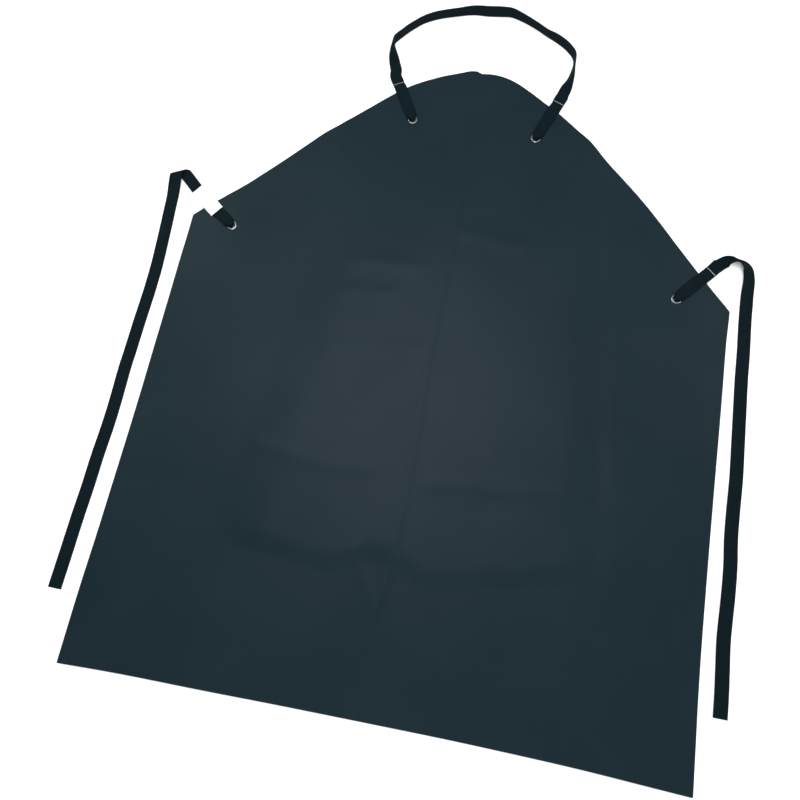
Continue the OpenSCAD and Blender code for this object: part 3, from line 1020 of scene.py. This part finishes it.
def webbing_cloth(name, dark, light):
    """Plain weave: cords along the strap, crossed by finer weft, with woven selvedges."""
    made, nodes, links, shader = material(name)
    along = node(nodes, "ShaderNodeAttribute", attribute_name="along").outputs["Fac"]
    across = node(nodes, "ShaderNodeAttribute", attribute_name="across").outputs["Fac"]

    def ripple(value, pitch, shift=0.0):
        turn = node(nodes, "ShaderNodeMath", operation="MULTIPLY_ADD")
        links.new(value, turn.inputs[0])
        turn.inputs[1].default_value = 2 * math.pi / pitch
        turn.inputs[2].default_value = shift
        wave = node(nodes, "ShaderNodeMath", operation="SINE")
        links.new(turn.outputs[0], wave.inputs[0])
        return wave.outputs[0]

    def combine(kind, a, b):
        made_node = node(nodes, "ShaderNodeMath", operation=kind)
        links.new(a, made_node.inputs[0])
        if isinstance(b, float):
            made_node.inputs[1].default_value = b
        else:
            links.new(b, made_node.inputs[1])
        return made_node.outputs[0]

    warp = ripple(across, 1.7 * MM)
    weft = ripple(along, 1.5 * MM)
    crossing = combine("MULTIPLY", warp, weft)
    fibres = ripple(combine("ADD", across, combine("MULTIPLY", along, 0.35)), 0.42 * MM)
    height = combine("ADD", crossing, combine("MULTIPLY", fibres, 0.25))
    height = combine("ADD", height, combine("MULTIPLY", ripple(across, 3.4 * MM), 0.45))
    tone = node(nodes, "ShaderNodeMapRange")
    tone.inputs["From Min"].default_value = -1.4
    tone.inputs["From Max"].default_value = 1.4
    links.new(height, tone.inputs["Value"])
    where = nodes.new("ShaderNodeTexCoord").outputs["Object"]
    worn = noise(nodes, links, where, 60.0, 4.0, 0.6)
    weave = combine("MULTIPLY", tone.outputs["Result"], 0.6)
    mixed = combine("ADD", weave, combine("MULTIPLY", worn, 0.4))
    links.new(colour_ramp(nodes, links, mixed, dark, light, (0.25, 0.8)), shader.inputs["Base Color"])
    bump(nodes, links, tone.outputs["Result"], shader, 0.6, 0.00025)
    shader.inputs["Roughness"].default_value = 0.78
    shader.inputs["Specular IOR Level"].default_value = 0.05
    return made


def metal(name, colour, rough, grain):
    """Plated metal with fine scratches and a slightly uneven polish."""
    made, nodes, links, shader = material(name)
    where = nodes.new("ShaderNodeTexCoord").outputs["Object"]
    wear = noise(nodes, links, where, 420.0, 4.0, 0.6)
    low, high = tuple(c * 0.82 for c in colour), tuple(min(c * 1.08, 1.0) for c in colour)
    links.new(colour_ramp(nodes, links, wear, low, high), shader.inputs["Base Color"])
    spread = node(nodes, "ShaderNodeMapRange")
    spread.inputs["To Min"].default_value = rough * 0.7
    spread.inputs["To Max"].default_value = rough * 1.4
    links.new(wear, spread.inputs["Value"])
    links.new(spread.outputs["Result"], shader.inputs["Roughness"])
    bump(nodes, links, noise(nodes, links, where, grain, 2.0), shader, 0.15, 0.00004)
    shader.inputs["Metallic"].default_value = 1.0
    return made


def label_tape():
    """Plain white woven tape, blank."""
    made, nodes, links, shader = material("label_tape")
    where = nodes.new("ShaderNodeTexCoord").outputs["Object"]
    weave = noise(nodes, links, where, 900.0, 3.0)
    tone = colour_ramp(nodes, links, weave, (0.80, 0.81, 0.80), (0.93, 0.93, 0.92))
    links.new(tone, shader.inputs["Base Color"])
    bump(nodes, links, weave, shader, 0.3, 0.00012)
    shader.inputs["Roughness"].default_value = 0.7
    return made


def paint(piece, made):
    piece.data.materials.clear()
    piece.data.materials.append(made)


# ---------------------------------------------------------------- build
def build():
    cloth = webbing_cloth("webbing_cloth", (0.0006, 0.0034, 0.0048), (0.0030, 0.0095, 0.0125))
    cover = rubber("rubber_sheet", (0.0042, 0.0124, 0.0166), (0.0062, 0.0150, 0.0196), 0.42)
    core_rubber = rubber("lead_core_rubber", (0.035, 0.036, 0.038), (0.055, 0.056, 0.058), 0.7)
    nickel = metal("nickel_plate", (0.33, 0.34, 0.35), 0.24, 900.0)
    wire = metal("staple_steel", (0.36, 0.37, 0.38), 0.3, 1400.0)

    straps = [neck_band(), *right_tie(), *left_tie()]
    straps += [loop_webbing(place) for place in PLACES] + [returned_end()]
    for piece in straps:
        paint(piece, cloth)
    back, core, front = panel()
    paint(back, cover)
    paint(front, cover)
    paint(core, core_rubber)
    for place in PLACES:
        paint(eyelet(place), nickel)
        paint(washer(place), nickel)
        paint(staple(place), wire)
    paint(size_label(), label_tape())


def floor():
    bpy.ops.mesh.primitive_plane_add(size=8.0, location=(0, 0.15, -0.0005))
    ground = bpy.context.object
    ground.name = "floor"
    made, _, _, shader = material("floor_paper")
    shader.inputs["Base Color"].default_value = (0.9, 0.9, 0.9, 1)
    shader.inputs["Roughness"].default_value = 0.9
    shader.inputs["Specular IOR Level"].default_value = 0.1
    paint(ground, made)


def area_light(name, place, aim, size, power):
    data = bpy.data.lights.new(name, "AREA")
    data.shape = "RECTANGLE"
    data.size, data.size_y = size
    data.energy = power
    light = bpy.data.objects.new(name, data)
    light.location = place
    light.rotation_euler = (Vector(aim) - Vector(place)).to_track_quat("-Z", "Y").to_euler()
    scene.collection.objects.link(light)


def lights():
    area_light("soft_top", (-0.1, 0.42, 1.35), (-0.04, 0.2, 0), (1.0, 1.0), 17)
    area_light("key_left", (-2.3, 1.6, 1.7), (0, 0.15, 0), (1.6, 1.4), 38)
    area_light("key_right", (2.3, 1.3, 1.7), (0, 0.15, 0), (1.6, 1.4), 30)
    area_light("fill_front", (0.3, -2.5, 1.8), (0, 0.1, 0), (2.2, 1.2), 56)
    world = bpy.data.worlds.new("studio")
    world.use_nodes = True
    world.node_tree.nodes["Background"].inputs["Color"].default_value = (0.93, 0.96, 1.0, 1)
    world.node_tree.nodes["Background"].inputs["Strength"].default_value = 0.5
    scene.world = world
    scene.view_settings.view_transform = "Standard"


build()
floor()
lights()
